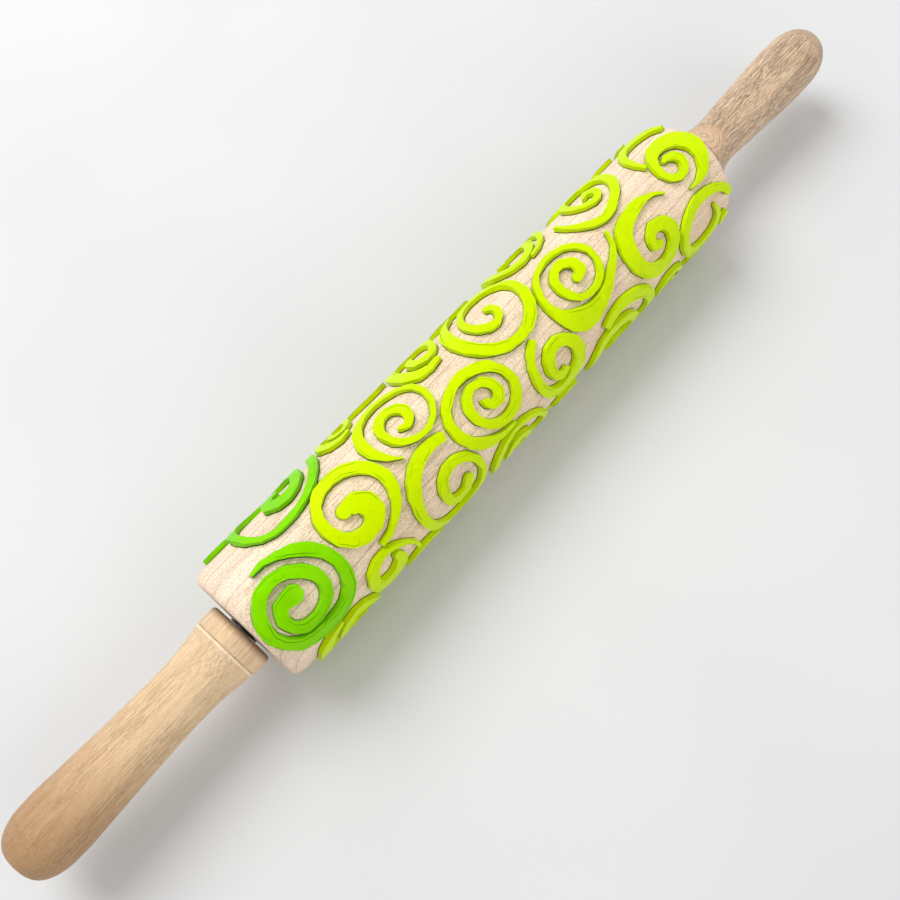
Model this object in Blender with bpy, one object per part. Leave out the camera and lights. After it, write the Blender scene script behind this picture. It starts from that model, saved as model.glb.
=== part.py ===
"""Clay texture roller: a turned wooden pin with swirls of craft foam glued round its barrel.

Metres, with +Z up. The origin is the barrel's centre, and +X runs along the axle from the
near handle to the far one. The barrel turns on a steel axle whose ends are fixed in the handles.
"""

import math

import bmesh
import bpy
from mathutils import Vector

# Barrel
BARREL_LENGTH = 0.250
BARREL_RADIUS = 0.024
SHOULDER_LENGTH = 0.006
SHOULDER_DROP = 0.0028
BORE_CHAMFER = 0.0005

# Axle and its bushings
AXLE_RADIUS = 0.003
AXLE_GRIP_LENGTH = 0.050
AXLE_CHAMFER = 0.0006
RUNNING_CLEARANCE = 0.0003
FIT_CLEARANCE = 0.0003
BUSHING_WALL = 0.0012
BUSHING_LENGTH = 0.014
FLANGE_LIP = 0.0009
FLANGE_THICKNESS = 0.0006
SEAT_GAP = 0.0003
BLIND_END_GAP = 0.002

# Handles
HANDLE_LENGTH = 0.0942
COLLAR_RADIUS = 0.0127
COLLAR_LENGTH = 0.0078
COLLAR_ROUND = 0.0014
BEAD_DEPTH = 0.0004
BEAD_WIDTH = 0.0010
NEAR_SWELL_RADIUS = 0.0123
NEAR_BUTT_FLAT_RADIUS = 0.0050
NEAR_BUTT_LENGTH = 0.0125
FAR_SWELL_RADIUS = 0.0125
FAR_BUTT_FLAT_RADIUS = 0.0030
FAR_BUTT_LENGTH = 0.0150

# Foam
FOAM_THICKNESS = 0.0020
GLUE_LINE = 0.00012

# Turned grips: where along the handle, as a share of its length, and how thick, as a share of
# the swell's radius. The butt's round cap follows the last point.
NEAR_GRIP_SHARES = (
    (0.115, 0.985),
    (0.150, 0.940),
    (0.200, 0.890),
    (0.290, 0.862),
    (0.390, 0.868),
    (0.490, 0.896),
    (0.600, 0.925),
    (0.730, 0.970),
    (0.815, 1.000),
    (0.865, 0.992),
)
FAR_GRIP_SHARES = (
    (0.115, 0.960),
    (0.150, 0.890),
    (0.200, 0.820),
    (0.260, 0.808),
    (0.330, 0.836),
    (0.430, 0.880),
    (0.530, 0.926),
    (0.640, 0.975),
    (0.740, 1.000),
    (0.840, 0.990),
)

# The foam is laid out on the barrel unrolled: one module is a fiftieth of its length, and
# about a thirty-third of the way round it, so a module is 5 mm each way on this pin.
LENGTH_MODULES = 50
GIRTH_MODULES = 32.67
SHEET_TILT_DEG = 17.1
TURN_TOLERANCE_SHARE = 0.055
LONGEST_STEP_SHARE = 1.05
WIDE_STRIP_SHARE = 1.20
PANEL_DEG = 15.6
LOOK_SHARE = 0.004
FOAM_DROP_SHARE = 0.35

BARREL_SIDES = 48
HANDLE_SIDES = 32
SMALL_SIDES = 24
SHOULDER_STEPS = 4
BUTT_STEPS = 5
COLLAR_STEPS = 2
SHARP_DEG = 30

# A swirl's spine: the direction in which it starts from its centre, how far it winds (negative
# is clockwise on the sheet), then its distance from the centre and its width, both in modules,
# at even turns from the inner end to the outer one.
SWIRL_SHARES = {
    "tight": (
        -110, -719,
        (0.84, 1.75, 1.87, 1.55, 1.5, 1.64, 1.93, 2.62, 3.07, 2.97, 2.76, 3.12, 3.2, 3.28, 3.84),
        (1.4, 1.0, 0.92, 0.8, 0.88, 0.92, 1.04, 1.0, 0.98, 0.98, 1.08, 1.05, 0.86, 0.96, 0.3),
    ),
    "comma": (
        -134, 589,
        (0.75, 0.5, 0.65, 1.05, 1.55, 1.85, 2.25, 2.7, 2.95, 3.1, 2.82, 3.0),
        (1.15, 1.45, 1.65, 1.75, 1.4, 1.15, 0.95, 0.88, 1.0, 1.0, 0.7, 0.4),
    ),
    "plate": (
        118, -710,
        (0.6, 0.8, 0.9, 1.1, 1.3, 1.4, 1.5, 1.8, 2.43, 2.95, 2.78, 2.88, 2.95, 2.68),
        (0.4, 0.6, 0.8, 0.9, 0.9, 0.8, 0.7, 0.5, 0.5, 0.55, 0.6, 0.7, 0.9, 0.2),
    ),
    "target": (
        -148, -853,
        (0.52, 0.43, 0.45, 0.63, 0.8, 1.1, 1.62, 1.83, 1.78, 1.98, 2.2, 2.26, 2.38, 2.85, 3.55, 3.1, 2.8),
        (0.72, 0.72, 0.72, 0.84, 0.85, 0.76, 0.76, 0.78, 0.7, 0.78, 0.88, 0.76, 1.0, 0.82, 0.85, 0.85, 0.3),
    ),
    "hook": (
        60, 555,
        (0.5, 0.8, 1.0, 1.35, 1.8, 1.86, 1.85, 1.84, 2.24, 2.54, 3.2),
        (0.6, 0.7, 0.8, 1.0, 1.04, 1.02, 1.2, 1.06, 0.88, 0.82, 0.6),
    ),
    "wide": (
        -75, 688,
        (0.7, 0.8, 0.73, 0.85, 1.07, 1.6, 2.35, 3.03, 3.25, 3.1, 2.9, 3.0, 3.35, 3.7),
        (0.5, 0.7, 0.7, 0.7, 0.75, 0.75, 0.6, 0.55, 0.75, 0.95, 0.9, 1.0, 1.1, 0.3),
    ),
    "tailed": (
        77, -806,
        (
            0.2, 0.35, 0.72, 1.17, 1.53, 1.65, 1.62, 1.64, 1.74, 2.07,
            2.43, 2.61, 2.63, 3.03, 3.33, 3.27, 2.76, 2.93, 4.5,
        ),
        (
            0.8, 0.97, 1.02, 0.97, 0.86, 0.78, 0.7, 0.62, 0.55, 0.56,
            0.6, 0.6, 0.56, 0.62, 0.82, 1.94, 1.2, 0.68, 0.25,
        ),
    ),
    "fat": (
        85, 604,
        (0.6, 0.5, 0.4, 0.45, 0.85, 1.6, 2.08, 2.42, 2.58, 2.78, 2.8, 3.7),
        (0.8, 1.0, 0.85, 0.85, 1.15, 1.3, 1.1, 1.12, 1.4, 1.45, 1.1, 0.2),
    ),
    "moon": (
        -120, 577,
        (0.8, 0.85, 0.95, 0.95, 1.05, 1.2, 1.45, 2.15, 2.7, 2.6, 2.35),
        (0.4, 0.85, 0.9, 0.8, 0.8, 0.75, 0.8, 1.4, 1.65, 1.0, 0.2),
    ),
    "eye": (
        -143, 687,
        (0.2, 0.5, 0.75, 0.85, 0.85, 0.98, 1.65, 2.5, 2.7, 2.38, 2.18, 3.1, 3.7),
        (0.6, 0.7, 0.8, 0.75, 0.7, 0.7, 0.7, 0.7, 0.8, 0.85, 0.8, 0.75, 0.42),
    ),
    "noose": (
        -27, 379,
        (2.0, 2.05, 1.85, 2.1, 2.35, 2.15, 2.65, 3.8),
        (0.4, 0.8, 0.9, 0.95, 0.9, 0.85, 0.85, 0.7),
    ),
    "drop": (
        -38, 421,
        (0.95, 0.8, 0.8, 1.1, 1.6, 1.7, 1.7, 1.85, 2.65),
        (0.7, 1.3, 1.3, 1.3, 1.05, 0.9, 0.6, 0.45, 0.3),
    ),
    "shell": (
        34, 620,
        (1.25, 1.5, 1.35, 1.1, 1.15, 1.45, 1.9, 2.45, 3.15, 3.48, 3.33, 3.35, 3.55, 3.6),
        (0.9, 0.85, 0.8, 0.8, 0.8, 0.8, 0.78, 0.68, 0.6, 0.6, 0.72, 0.95, 1.1, 0.85),
    ),
    "arch": (
        250, -624,
        (0.45, 0.85, 1.1, 1.15, 1.4, 1.95, 2.8, 3.4, 3.97, 3.88, 2.8, 2.85, 3.55),
        (0.8, 1.0, 1.15, 1.15, 1.05, 0.95, 0.9, 0.9, 0.8, 0.55, 0.6, 0.75, 0.8),
    ),
    "ram": (
        210, -492,
        (0.6, 1.0, 1.4, 1.5, 1.35, 1.5, 1.8, 2.25, 2.45, 2.66, 2.38),
        (0.6, 0.8, 0.8, 0.8, 0.7, 0.8, 0.9, 1.0, 1.0, 1.05, 0.5),
    ),
    "snail": (
        -200, 640,
        (0.5, 0.8, 1.2, 1.6, 2.0, 2.2, 2.5, 2.5, 2.7, 3.0, 3.3, 3.23, 2.89),
        (0.6, 0.8, 0.9, 0.9, 0.9, 0.9, 0.9, 0.9, 0.9, 0.8, 0.8, 0.6, 0.3),
    ),
    "crescent": (
        157, 183,
        (2.5, 2.52, 2.64, 2.5, 2.4, 2.4),
        (0.3, 0.6, 0.8, 0.95, 0.95, 0.6),
    ),
    "bowl": (
        551, -672,
        (0.6, 1.1, 1.4, 1.7, 1.85, 1.9, 2.05, 2.85, 3.3, 3.1, 3.0, 3.5, 3.95, 3.55, 3.36),
        (0.6, 0.9, 0.9, 0.9, 0.9, 0.9, 0.9, 0.9, 0.9, 0.9, 0.9, 1.0, 1.1, 1.0, 0.75),
    ),
    "crab": (
        -330, 571,
        (0.6, 1.1, 1.4, 1.5, 1.55, 1.5, 1.6, 1.9, 2.3, 2.65, 3.25, 2.5),
        (0.6, 0.8, 0.9, 1.0, 1.0, 0.9, 0.8, 0.8, 0.9, 1.0, 1.25, 0.4),
    ),
    "dash": (
        180, 70,
        (1.0, 1.0, 1.0),
        (0.6, 0.9, 0.6),
    ),
}

# These are cut round at the inner end: how far each step of the round goes beyond the spine,
# and how wide it is, as shares of the strip's width there.
ROUND_ENDED = (
    "tight", "comma", "plate", "tailed", "fat", "shell", "arch", "snail", "bowl", "crab", "drop",
)
ROUND_END_SHARES = ((0.46, 0.38), (0.30, 0.80))

# Each swirl on the barrel, row by row: its shape, how far its centre is from the near end in
# modules, its angle round the barrel in degrees, how far it is turned on the sheet, its scale
# and its foam.
ROW_SHARES = {
    "upper": (
        ("arch", 7.6, -67, 0, 1.0, "green"),
        ("ram", 13.75, -77.5, 0, 0.74, "lime"),
        ("plate", 16.43, -27, 0, 1.0, "lime"),
        ("ram", 21.64, -68.5, 0, 0.99, "lime"),
        ("wide", 26.8, -36, 0, 1.0, "lime"),
        ("snail", 32.6, -79, 0, 0.95, "lime"),
        ("eye", 40.0, -52, 0, 1.0, "lime"),
        ("crescent", 46.9, -38, 0, 1.0, "lime"),
    ),
    "middle": (
        ("tight", 3.70, 16.2, 0, 1.0, "green"),
        ("comma", 9.95, -2, 0, 1.0, "lime"),
        ("target", 22.13, 13, 0, 1.01, "lime"),
        ("tailed", 33.4, -6, 0, 1.0, "lime"),
        ("fat", 40.6, 21, 0, 1.0, "lime"),
        ("moon", 46.1, -12, 0, 1.0, "lime"),
    ),
    "lower": (
        ("crab", 5.7, 80.2, 0, 1.0, "lime"),
        ("drop", 9.4, 56.5, 0, 1.0, "lime"),
        ("shell", 16.4, 43, 0, 1.0, "lime"),
        ("plate", 22.8, 79.8, 0, 0.95, "lime"),
        ("hook", 28.25, 39.5, 0, 1.0, "lime"),
        ("bowl", 34.8, 80.3, 0, 1.0, "lime"),
        ("hook", 41.3, 81, 200, 0.68, "lime"),
        ("noose", 45.4, 51.5, 0, 1.0, "lime"),
        ("dash", 49.0, 72, 0, 1.0, "lime"),
    ),
    "front": (
        ("hook", 2.7, 134, 40, 0.75, "lime"),
        ("hook", 12.3, 92, 120, 0.70, "lime"),
        ("comma", 8.7, 127, 200, 0.80, "lime"),
        ("fat", 16.2, 124, 160, 0.85, "lime"),
        ("drop", 21.7, 139, 30, 0.70, "lime"),
        ("moon", 26.9, 128, 60, 0.80, "lime"),
        ("drop", 28.2, 90, 150, 0.80, "lime"),
        ("drop", 31.9, 140, 250, 0.70, "lime"),
        ("drop", 35.9, 139, 100, 0.66, "lime"),
        ("comma", 40.6, 133.2, 20, 0.68, "lime"),
        ("eye", 46.6, 113, 90, 0.85, "lime"),
    ),
    "base": (
        ("moon", 3.6, 200, 200, 0.95, "lime"),
        ("plate", 9.4, 203, 90, 0.92, "lime"),
        ("fat", 15.5, 201, 20, 0.85, "lime"),
        ("target", 21.8, 202, 140, 0.75, "lime"),
        ("hook", 28.0, 200, 120, 0.95, "lime"),
        ("eye", 34.0, 200, 180, 0.85, "lime"),
        ("comma", 40.3, 204, 300, 0.86, "lime"),
        ("shell", 46.4, 202.5, 60, 0.77, "lime"),
    ),
    "back": (
        ("drop", 2.5, 264, 150, 0.45, "green"),
        ("hook", 17.4, 258, 30, 0.85, "lime"),
        ("drop", 21.9, 249, 200, 0.50, "lime"),
        ("comma", 26.9, 255, 250, 0.80, "lime"),
        ("moon", 40.2, 242, 90, 0.74, "lime"),
        ("fat", 46.0, 257, 120, 0.72, "lime"),
    ),
}

WOOD_PALE = (0.86, 0.74, 0.61)
WOOD_MAPLE = (0.66, 0.48, 0.31)
WOOD_BEECH = (0.62, 0.47, 0.35)
STEEL_GREY = (0.62, 0.62, 0.64)
NYLON_BLACK = (0.035, 0.032, 0.030)
FOAM_COLOURS = {"lime": (0.58, 0.87, 0.01), "green": (0.17, 0.66, 0.01)}


def clear_scene():
    for obj in list(bpy.data.objects):
        bpy.data.objects.remove(obj, do_unlink=True)


def material(name, colour, roughness, metallic=0.0):
    made = bpy.data.materials.new(name)
    made.use_nodes = True
    shader = made.node_tree.nodes["Principled BSDF"]
    shader.inputs["Base Color"].default_value = (*colour, 1.0)
    shader.inputs["Roughness"].default_value = roughness
    shader.inputs["Metallic"].default_value = metallic
    made.diffuse_color = (*colour, 1.0)
    return made


def object_from(bm, name, surface, parent=None):
    bmesh.ops.recalc_face_normals(bm, faces=bm.faces)
    mesh = bpy.data.meshes.new(name)
    bm.to_mesh(mesh)
    bm.free()
    mesh.shade_smooth()
    mesh.set_sharp_from_angle(angle=math.radians(SHARP_DEG))
    mesh.materials.append(surface)
    obj = bpy.data.objects.new(name, mesh)
    bpy.context.scene.collection.objects.link(obj)
    obj.parent = parent
    return obj


def turned(name, outline, sides, surface, parent=None):
    """A closed outline of (x, radius) points turned round the X axis."""
    bm = bmesh.new()
    points = [bm.verts.new((x, 0, radius)) for x, radius in outline]
    edges = [bm.edges.new(pair) for pair in zip(points, points[1:] + points[:1])]
    bmesh.ops.spin(
        bm, geom=points + edges, axis=(1, 0, 0), cent=(0, 0, 0),
        angle=math.tau, steps=sides, use_merge=True, use_duplicate=False,
    )
    return object_from(bm, name, surface, parent)


def mirrored(outline):
    return [(-x, radius) for x, radius in outline]


def bushing_radius():
    return AXLE_RADIUS + RUNNING_CLEARANCE + BUSHING_WALL


def bore_radius():
    return bushing_radius() + FIT_CLEARANCE


def shoulder_drop(from_end):
    """How much thinner the barrel is at this distance from its end face."""
    into = max(0.0, 1.0 - from_end / SHOULDER_LENGTH)
    return SHOULDER_DROP * (1.0 - math.sqrt(1.0 - min(1.0, into) ** 2))


def make_barrel(root):
    half = BARREL_LENGTH / 2
    shoulder = []
    for step in range(SHOULDER_STEPS + 1):
        turn = math.pi / 2 * step / SHOULDER_STEPS
        x = half - SHOULDER_LENGTH * (1.0 - math.sin(turn))
        shoulder.append((x, BARREL_RADIUS - SHOULDER_DROP * (1.0 - math.cos(turn))))
    bore = bore_radius()
    mouth = [(half, bore + BORE_CHAMFER), (half - BORE_CHAMFER, bore)]
    outer = shoulder + mouth
    outline = outer + mirrored(reversed(outer))
    return turned("barrel", outline, BARREL_SIDES, material("barrel_wood", WOOD_PALE, 0.6), root)


def make_bushing(name, side, root, surface):
    """A nylon sleeve in the barrel's bore, with a thin flange that runs against the collar."""
    face = BARREL_LENGTH / 2
    flange_in = face + SEAT_GAP
    flange_out = flange_in + FLANGE_THICKNESS
    hole = AXLE_RADIUS + RUNNING_CLEARANCE
    sleeve = bushing_radius()
    outline = [
        (face - BUSHING_LENGTH, hole),
        (face - BUSHING_LENGTH, sleeve),
        (flange_in, sleeve),
        (flange_in, sleeve + FIT_CLEARANCE + FLANGE_LIP),
        (flange_out, sleeve + FIT_CLEARANCE + FLANGE_LIP),
        (flange_out, hole),
    ]
    placed = outline if side > 0 else mirrored(outline)
    return turned(name, placed, SMALL_SIDES, surface, root)


def collar_face():
    return BARREL_LENGTH / 2 + SEAT_GAP + FLANGE_THICKNESS + SEAT_GAP


def make_axle(spinner):
    end = collar_face() + AXLE_GRIP_LENGTH
    bm = bmesh.new()
    along_x = Vector((0, 0, 1)).rotation_difference(Vector((1, 0, 0))).to_matrix().to_4x4()
    bmesh.ops.create_cone(
        bm, cap_ends=True, segments=SMALL_SIDES, radius1=AXLE_RADIUS, radius2=AXLE_RADIUS,
        depth=2 * end, matrix=along_x,
    )
    rims = [edge for edge in bm.edges if abs(edge.verts[0].co.x - edge.verts[1].co.x) < end]
    bmesh.ops.bevel(bm, geom=rims, offset=AXLE_CHAMFER, segments=1, affect="EDGES")
    steel = material("axle_steel", STEEL_GREY, 0.35, 1.0)
    return object_from(bm, "axle_rod", steel, spinner)


def handle_outline(grip_shares, swell, butt_length, butt_flat):
    """Closed outline of one handle, x counted from its collar's face, with the axle's blind hole."""
    hole = AXLE_RADIUS + FIT_CLEARANCE
    outline = [(0.0, hole)]
    for step in range(COLLAR_STEPS + 1):
        turn = math.pi / 2 * step / COLLAR_STEPS
        outline.append((
            COLLAR_ROUND * (1.0 - math.cos(turn)),
            COLLAR_RADIUS - COLLAR_ROUND * (1.0 - math.sin(turn)),
        ))
    outline.append((COLLAR_LENGTH - BEAD_WIDTH, COLLAR_RADIUS))
    outline.append((COLLAR_LENGTH - BEAD_WIDTH / 2, COLLAR_RADIUS - BEAD_DEPTH))
    outline.append((COLLAR_LENGTH, COLLAR_RADIUS - BEAD_DEPTH / 2))
    for along, thick in grip_shares:
        outline.append((HANDLE_LENGTH * along, swell * thick))
    cap_from = HANDLE_LENGTH - butt_length
    last_radius = outline[-1][1]
    cap_drop = last_radius - butt_flat
    start_x = max(cap_from, outline[-1][0])
    for step in range(1, BUTT_STEPS + 1):
        turn = math.pi / 2 * step / BUTT_STEPS
        x = start_x + (HANDLE_LENGTH - start_x) * math.sin(turn)
        outline.append((x, butt_flat + cap_drop * math.cos(turn)))
    outline.append((HANDLE_LENGTH, 0.0))
    outline.append((AXLE_GRIP_LENGTH + BLIND_END_GAP, 0.0))
    outline.append((AXLE_GRIP_LENGTH + BLIND_END_GAP, hole))
    return outline


def make_handle(name, side, grip_shares, swell, butt_length, butt_flat, surface, spinner):
    outline = handle_outline(grip_shares, swell, butt_length, butt_flat)
    placed = [(collar_face() + x, radius) for x, radius in outline]
    if side < 0:
        placed = mirrored(placed)
    return turned(name, placed, HANDLE_SIDES, surface, spinner)


def curve_value(shares, along):
    """Smooth value at a share of the way along a row of evenly spaced shares."""
    place = along * (len(shares) - 1)
    first = min(int(place), len(shares) - 2)
    t = place - first
    here, there = shares[first], shares[first + 1]
    before = shares[max(first - 1, 0)]
    after = shares[min(first + 2, len(shares) - 1)]
    in_slope = (there - before) / 2
    out_slope = (after - here) / 2
    rise = there - here
    return here + t * (in_slope + t * (3 * rise - 2 * in_slope - out_slope
                                       + t * (in_slope + out_slope - 2 * rise)))


def spine_point(shape, turned_deg, scale, along):
    start, sweep, distance_shares, _ = SWIRL_SHARES[shape]
    distance = curve_value(distance_shares, along) * scale
    heading = math.radians(start + sweep * along + turned_deg)
    return Vector((distance * math.cos(heading), distance * math.sin(heading)))


def spine_steps(shape, scale):
    """Shares along the spine, close together where it curls tightly."""
    _, sweep, distance_shares, _ = SWIRL_SHARES[shape]
    along, places = 0.0, [0.0]
    while along < 1.0:
        distance = max(curve_value(distance_shares, along) * scale, TURN_TOLERANCE_SHARE)
        curl = 2 * math.acos(1 - min(TURN_TOLERANCE_SHARE / distance, 1.0))
        longest = LONGEST_STEP_SHARE / distance
        along += math.degrees(min(curl, longest)) / abs(sweep)
        places.append(along)
    return [place / places[-1] for place in places]


def on_barrel(station, girth_deg, lift):
    """The place over the barrel at a station in modules and an angle round it."""
    x = BARREL_LENGTH * (station / LENGTH_MODULES - 0.5)
    from_end = BARREL_LENGTH / 2 - abs(x)
    radius = BARREL_RADIUS - FOAM_DROP_SHARE * shoulder_drop(from_end) + lift
    angle = math.radians(girth_deg + SHEET_TILT_DEG)
    return Vector((x, -radius * math.sin(angle), radius * math.cos(angle)))


def strip_sections(shape, turned_deg, scale):
    """The strip's centre, sideways direction and width at each step, with a round inner end."""
    sections = []
    for along in spine_steps(shape, scale):
        centre = spine_point(shape, turned_deg, scale, along)
        ahead = spine_point(shape, turned_deg, scale, min(along + LOOK_SHARE, 1.0))
        behind = spine_point(shape, turned_deg, scale, max(along - LOOK_SHARE, 0.0))
        forward = (ahead - behind).normalized()
        side = Vector((-forward.y, forward.x))
        width = curve_value(SWIRL_SHARES[shape][3], along) * scale
        if not sections and shape in ROUND_ENDED:
            for beyond, share in ROUND_END_SHARES:
                sections.append((centre - forward * width * beyond, side, width * share))
        sections.append((centre, side, width))
    return sections


def make_swirl(name, shape, station, girth_deg, turned_deg, scale, surface, root):
    """A strip of foam cut along a spiral and wrapped on the barrel."""
    width_shares = SWIRL_SHARES[shape][3]
    wide = max(width_shares) * scale > WIDE_STRIP_SHARE
    across = (-0.5, 0.0, 0.5) if wide else (-0.5, 0.5)
    under = BARREL_RADIUS * (1 / math.cos(math.radians(PANEL_DEG) / 2) - 1) + GLUE_LINE
    over = under + FOAM_THICKNESS
    module_deg = 360 / GIRTH_MODULES
    bm = bmesh.new()
    rings = []
    for centre, side, width in strip_sections(shape, turned_deg, scale):
        edge = [centre + side * width * share for share in across]
        places = [(station + p.x, girth_deg + p.y * module_deg) for p in edge]
        lower = [bm.verts.new(on_barrel(x, turn, under)) for x, turn in places]
        upper = [bm.verts.new(on_barrel(x, turn, over)) for x, turn in reversed(places)]
        rings.append(lower + upper)
    for ring, following in zip(rings, rings[1:]):
        for i in range(len(ring)):
            j = (i + 1) % len(ring)
            bm.faces.new((ring[i], ring[j], following[j], following[i]))
    bm.faces.new(rings[0])
    bm.faces.new(rings[-1])
    bmesh.ops.triangulate(bm, faces=bm.faces, quad_method="FIXED")
    return object_from(bm, name, surface, root)


def make_foam(root):
    surfaces = {
        colour: material(f"foam_{colour}", shade, 0.75) for colour, shade in FOAM_COLOURS.items()
    }
    for row, places in ROW_SHARES.items():
        for number, (shape, station, girth_deg, turned_deg, scale, colour) in enumerate(places, 1):
            make_swirl(
                f"{row}_swirl_{number}", shape, station, girth_deg, turned_deg, scale,
                surfaces[colour], root,
            )


def main():
    clear_scene()
    root = bpy.data.objects.new("barrel_group", None)
    spinner = bpy.data.objects.new("handle_axis", None)
    for empty in (root, spinner):
        bpy.context.scene.collection.objects.link(empty)
    make_barrel(root)
    nylon = material("bushing_nylon", NYLON_BLACK, 0.45)
    make_bushing("near_bushing", -1, root, nylon)
    make_bushing("far_bushing", 1, root, nylon)
    make_axle(spinner)
    make_handle(
        "near_handle", -1, NEAR_GRIP_SHARES, NEAR_SWELL_RADIUS, NEAR_BUTT_LENGTH,
        NEAR_BUTT_FLAT_RADIUS, material("near_handle_wood", WOOD_MAPLE, 0.55), spinner,
    )
    make_handle(
        "far_handle", 1, FAR_GRIP_SHARES, FAR_SWELL_RADIUS, FAR_BUTT_LENGTH,
        FAR_BUTT_FLAT_RADIUS, material("far_handle_wood", WOOD_BEECH, 0.65), spinner,
    )
    make_foam(root)


main()
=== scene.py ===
"""Clay texture roller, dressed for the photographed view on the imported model.

Metres, +Z up, +X along the axle from the near handle to the far one. The barrel, the handles
and the foam are finer copies of the solids that they stand for, with cut edges, grain and
wear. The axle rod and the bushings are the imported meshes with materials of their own.
"""

import math
from types import SimpleNamespace

import bmesh
import bpy
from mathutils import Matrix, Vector, noise


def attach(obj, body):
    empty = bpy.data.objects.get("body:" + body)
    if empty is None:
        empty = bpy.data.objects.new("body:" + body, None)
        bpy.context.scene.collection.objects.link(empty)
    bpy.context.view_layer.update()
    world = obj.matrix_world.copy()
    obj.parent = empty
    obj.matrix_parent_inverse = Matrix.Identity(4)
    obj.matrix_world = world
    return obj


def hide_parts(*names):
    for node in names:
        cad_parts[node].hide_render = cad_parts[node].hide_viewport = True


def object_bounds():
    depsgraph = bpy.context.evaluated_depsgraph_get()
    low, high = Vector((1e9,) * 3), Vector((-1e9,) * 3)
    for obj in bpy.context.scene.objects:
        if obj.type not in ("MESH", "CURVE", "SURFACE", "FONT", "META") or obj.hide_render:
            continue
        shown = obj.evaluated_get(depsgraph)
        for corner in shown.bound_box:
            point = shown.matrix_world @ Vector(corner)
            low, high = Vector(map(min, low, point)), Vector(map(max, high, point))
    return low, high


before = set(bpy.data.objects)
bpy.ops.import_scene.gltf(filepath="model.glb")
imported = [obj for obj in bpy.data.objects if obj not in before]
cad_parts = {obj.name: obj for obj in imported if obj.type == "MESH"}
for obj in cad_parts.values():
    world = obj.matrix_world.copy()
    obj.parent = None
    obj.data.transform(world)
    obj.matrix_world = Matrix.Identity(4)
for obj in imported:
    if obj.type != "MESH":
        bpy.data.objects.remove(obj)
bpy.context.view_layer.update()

# The barrel, as on its solid, and how finely and how unevenly it is turned
BARREL_LENGTH = 0.250
BARREL_RADIUS = 0.024
SHOULDER_LENGTH = 0.006
SHOULDER_DROP = 0.0028
BORE_RADIUS = 0.0048
BORE_CHAMFER = 0.0005
HALF_BARREL_STEPS = 24
SHOULDER_STEPS = 12
END_FACE_SHARES = (0.97, 0.8, 0.6, 0.45)
BARREL_SIDES = 160
BARREL_UNEVENNESS = 0.00007

# What both handles share, as on their solids: the collar, the bead behind it, cut off by a
# notch, and the hole for the axle. The bead's three points are in shares of its width, from
# the collar's end, and of the notch's or the bead's depth. Then how finely and how unevenly
# the handles are turned.
COLLAR_FACE = 0.1262
HANDLE_LENGTH = 0.0942
COLLAR_RADIUS = 0.0127
COLLAR_LENGTH = 0.0078
COLLAR_ROUND = 0.0014
BEAD_DEPTH = 0.0004
BEAD_WIDTH = 0.0010
NOTCH_DEPTH = 0.0007
NOTCH_WIDTH_SHARE = 0.8
BEAD_START = (-0.1, 0.9)
BEAD_MIDDLE = (0.0, 0.8)
BEAD_END = (0.3, 0.6)
AXLE_HOLE_RADIUS = 0.0033
AXLE_HOLE_LENGTH = 0.052
COLLAR_STEPS = 6
COLLAR_SHARES = (0.35, 0.7, 1.0)
NOTCH_STEPS = 5
GRIP_STEPS = 6
BUTT_STEPS = 16
HANDLE_SIDES = 96
HANDLE_UNEVENNESS = 0.00010

# Each grip: the radius of its swell, the length of its butt and the radius of the butt's flat,
# and its outline, in shares of the handle's length and of the swell
NEAR_GRIP = SimpleNamespace(
    swell=0.0123,
    butt_length=0.0125,
    butt_flat=0.0050,
    outline=(
        (0.115, 0.985), (0.150, 0.940), (0.200, 0.890), (0.290, 0.862), (0.390, 0.868),
        (0.490, 0.896), (0.600, 0.925), (0.730, 0.970), (0.815, 1.000), (0.865, 0.992),
    ),
)
FAR_GRIP = SimpleNamespace(
    swell=0.0125,
    butt_length=0.0150,
    butt_flat=0.0030,
    outline=(
        (0.115, 0.960), (0.150, 0.890), (0.200, 0.820), (0.260, 0.808), (0.330, 0.836),
        (0.430, 0.880), (0.530, 0.926), (0.640, 0.975), (0.740, 1.000), (0.840, 0.990),
    ),
)

# The unevenness of a turning, in waves a metre along it and across it, and the radius up to
# which it stays true, so that no hole is uneven
TURNING_WAVES = (30, 45)
TRUE_RADIUS = BORE_RADIUS + BORE_CHAMFER

# The foam's sheet, in modules of 5 mm, as on the solids: its size, how far it is turned round
# the barrel, how far a facet may be off its curve, how long it may be, and how far to look
# along a spine for its direction
LENGTH_MODULES = 50
GIRTH_MODULES = 32.67
SHEET_TILT_DEG = 17.1
TURN_TOLERANCE_SHARE = 0.055
LONGEST_STEP_SHARE = 1.05
LOOK_SHARE = 0.004
MODULE = BARREL_LENGTH / LENGTH_MODULES

# How a strip of foam was cut: how straight its facets are, the spacing of its fine rings, the
# angles that round an inner end, what a straight end loses at each corner, and its wobble
FACET_SHARE = 0.62
RING_STEP = 0.0006
ROUND_END_DEGS = (72, 58, 42, 24)
CUT_CORNER_SHARE = 0.10
WOBBLE = 0.00013

# How its walls lean: how far one is undercut and how far it leans in at most, the shares of
# that in the mean, from the side that it faces and from chance, and the most that both may
# be of the strip's own width
UNDERCUT = 0.00030
LEAN_MOST = 0.00080
LEAN_MEAN_SHARE = 0.34
LEAN_SIDE_SHARE = 0.42
LEAN_CHANCE_SHARE = 1.1
UNDERCUT_WIDTH_SHARE = 0.20
LEAN_WIDTH_SHARE = 0.30

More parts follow.
